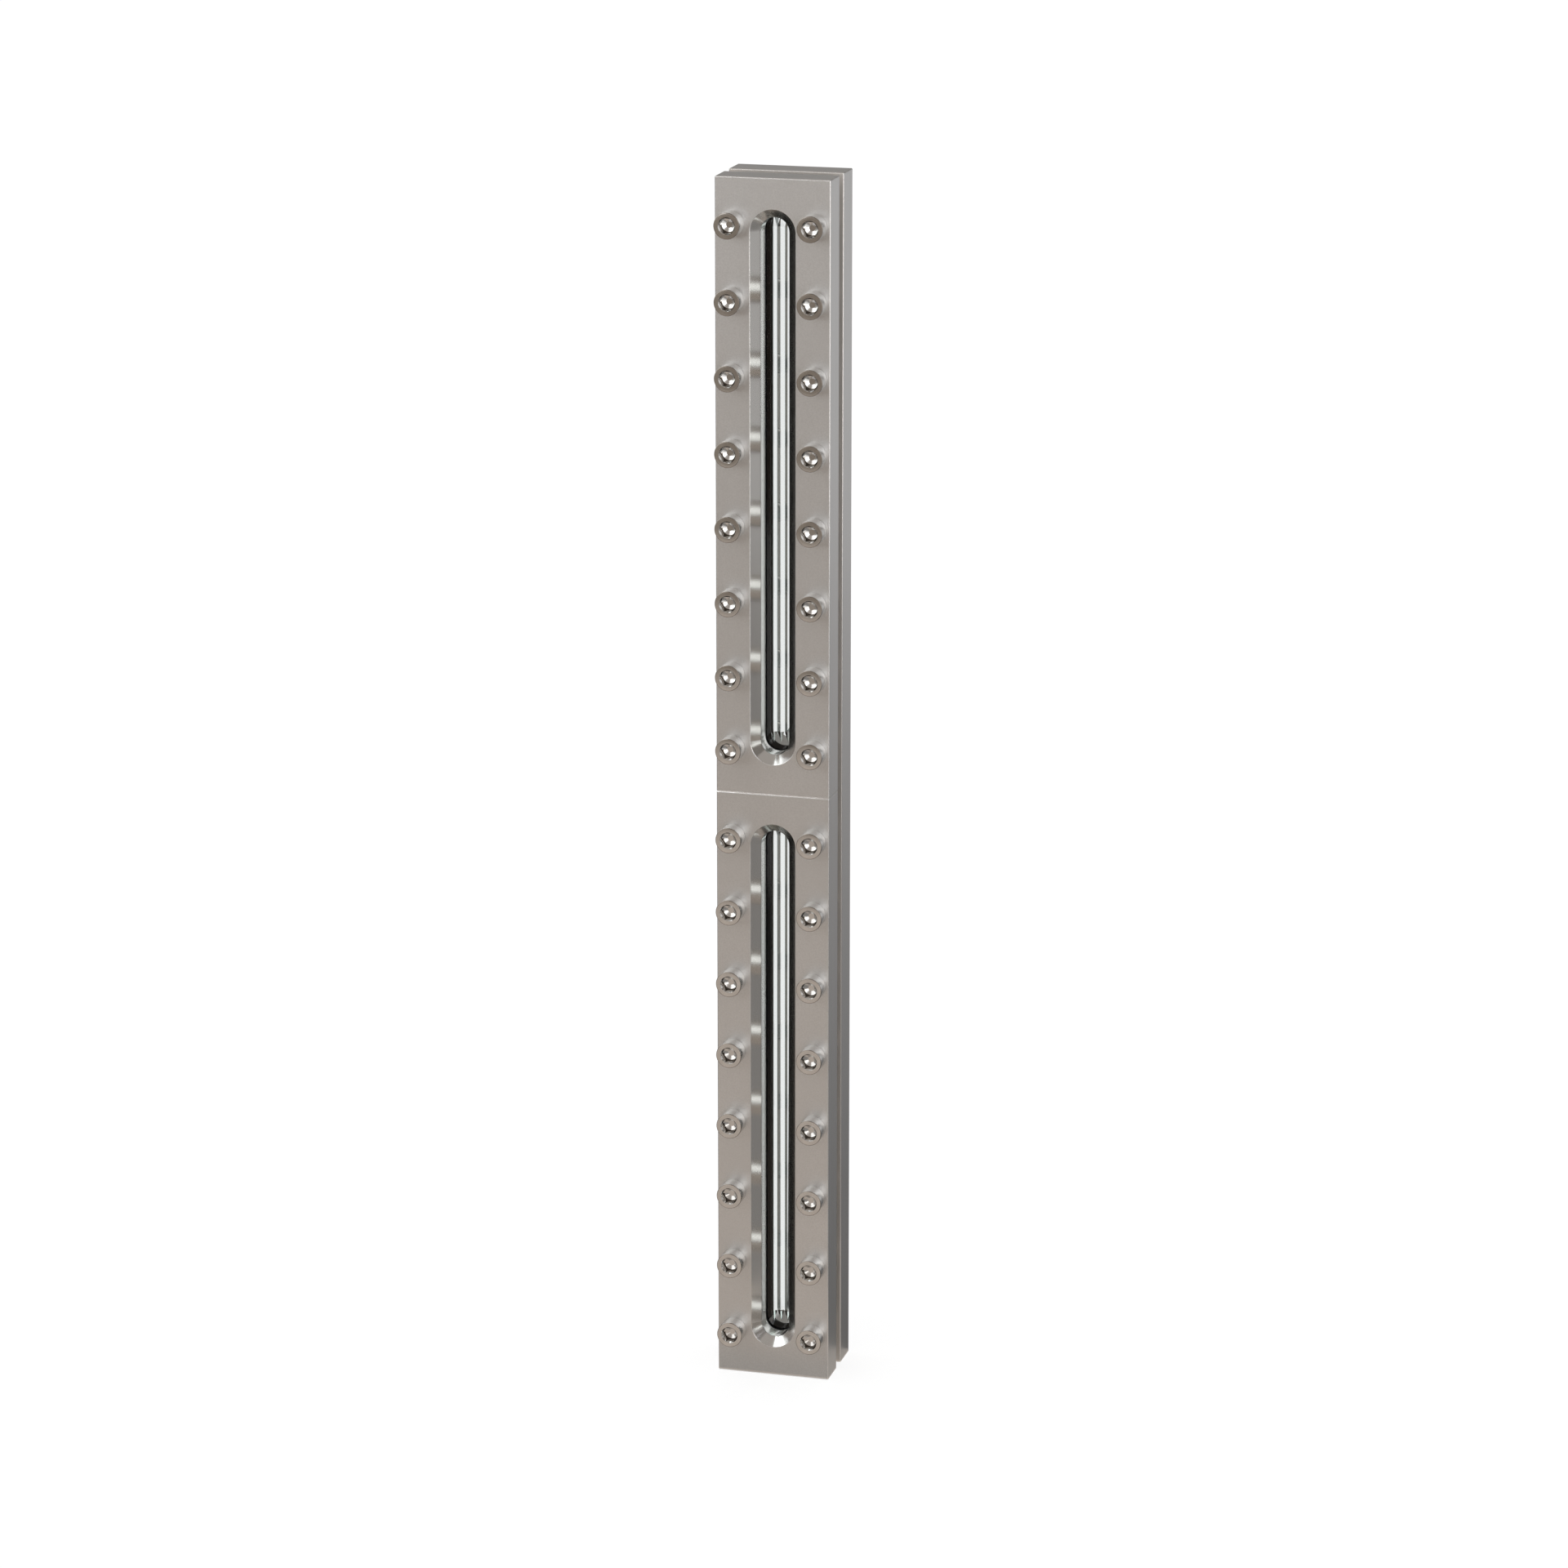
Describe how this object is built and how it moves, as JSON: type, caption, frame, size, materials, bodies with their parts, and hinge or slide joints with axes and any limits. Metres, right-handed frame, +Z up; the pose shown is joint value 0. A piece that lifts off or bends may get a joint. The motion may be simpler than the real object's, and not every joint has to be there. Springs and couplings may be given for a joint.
{
  "type": "reflex level gauge",
  "caption": "Long weld-on reflex level gauge: slotted steel base, bevelled window frames over grooved flat glass, gaskets and hex socket cap screws.",
  "frame": {"origin": "centre of the rear weld face of the base, half way up, on the web between the two channels", "axes": "+Y out of the rear weld face towards the vessel, +Z up along the length, -Y towards the reader"},
  "size_m": [0.08, 0.07, 0.848],
  "materials": {
    "steel_plate": "ground and blasted stainless steel, satin",
    "screw_steel": "bright turned stainless steel",
    "glass": "clear polished borosilicate glass",
    "gasket": "matte black sheet gasket"
  },
  "bodies": {
    "root": {"base_body": "steel_plate", "upper_cover_frame": "steel_plate", "upper_reflex_glass": "glass", "upper_cushion_gasket": "gasket", "upper_sealing_gasket": "gasket", "upper_screws_left": "screw_steel", "upper_screws_right": "screw_steel", "lower_cover_frame": "steel_plate", "lower_reflex_glass": "glass", "lower_cushion_gasket": "gasket", "lower_sealing_gasket": "gasket", "lower_screws_left": "screw_steel", "lower_screws_right": "screw_steel"}
  },
  "joints": []
}
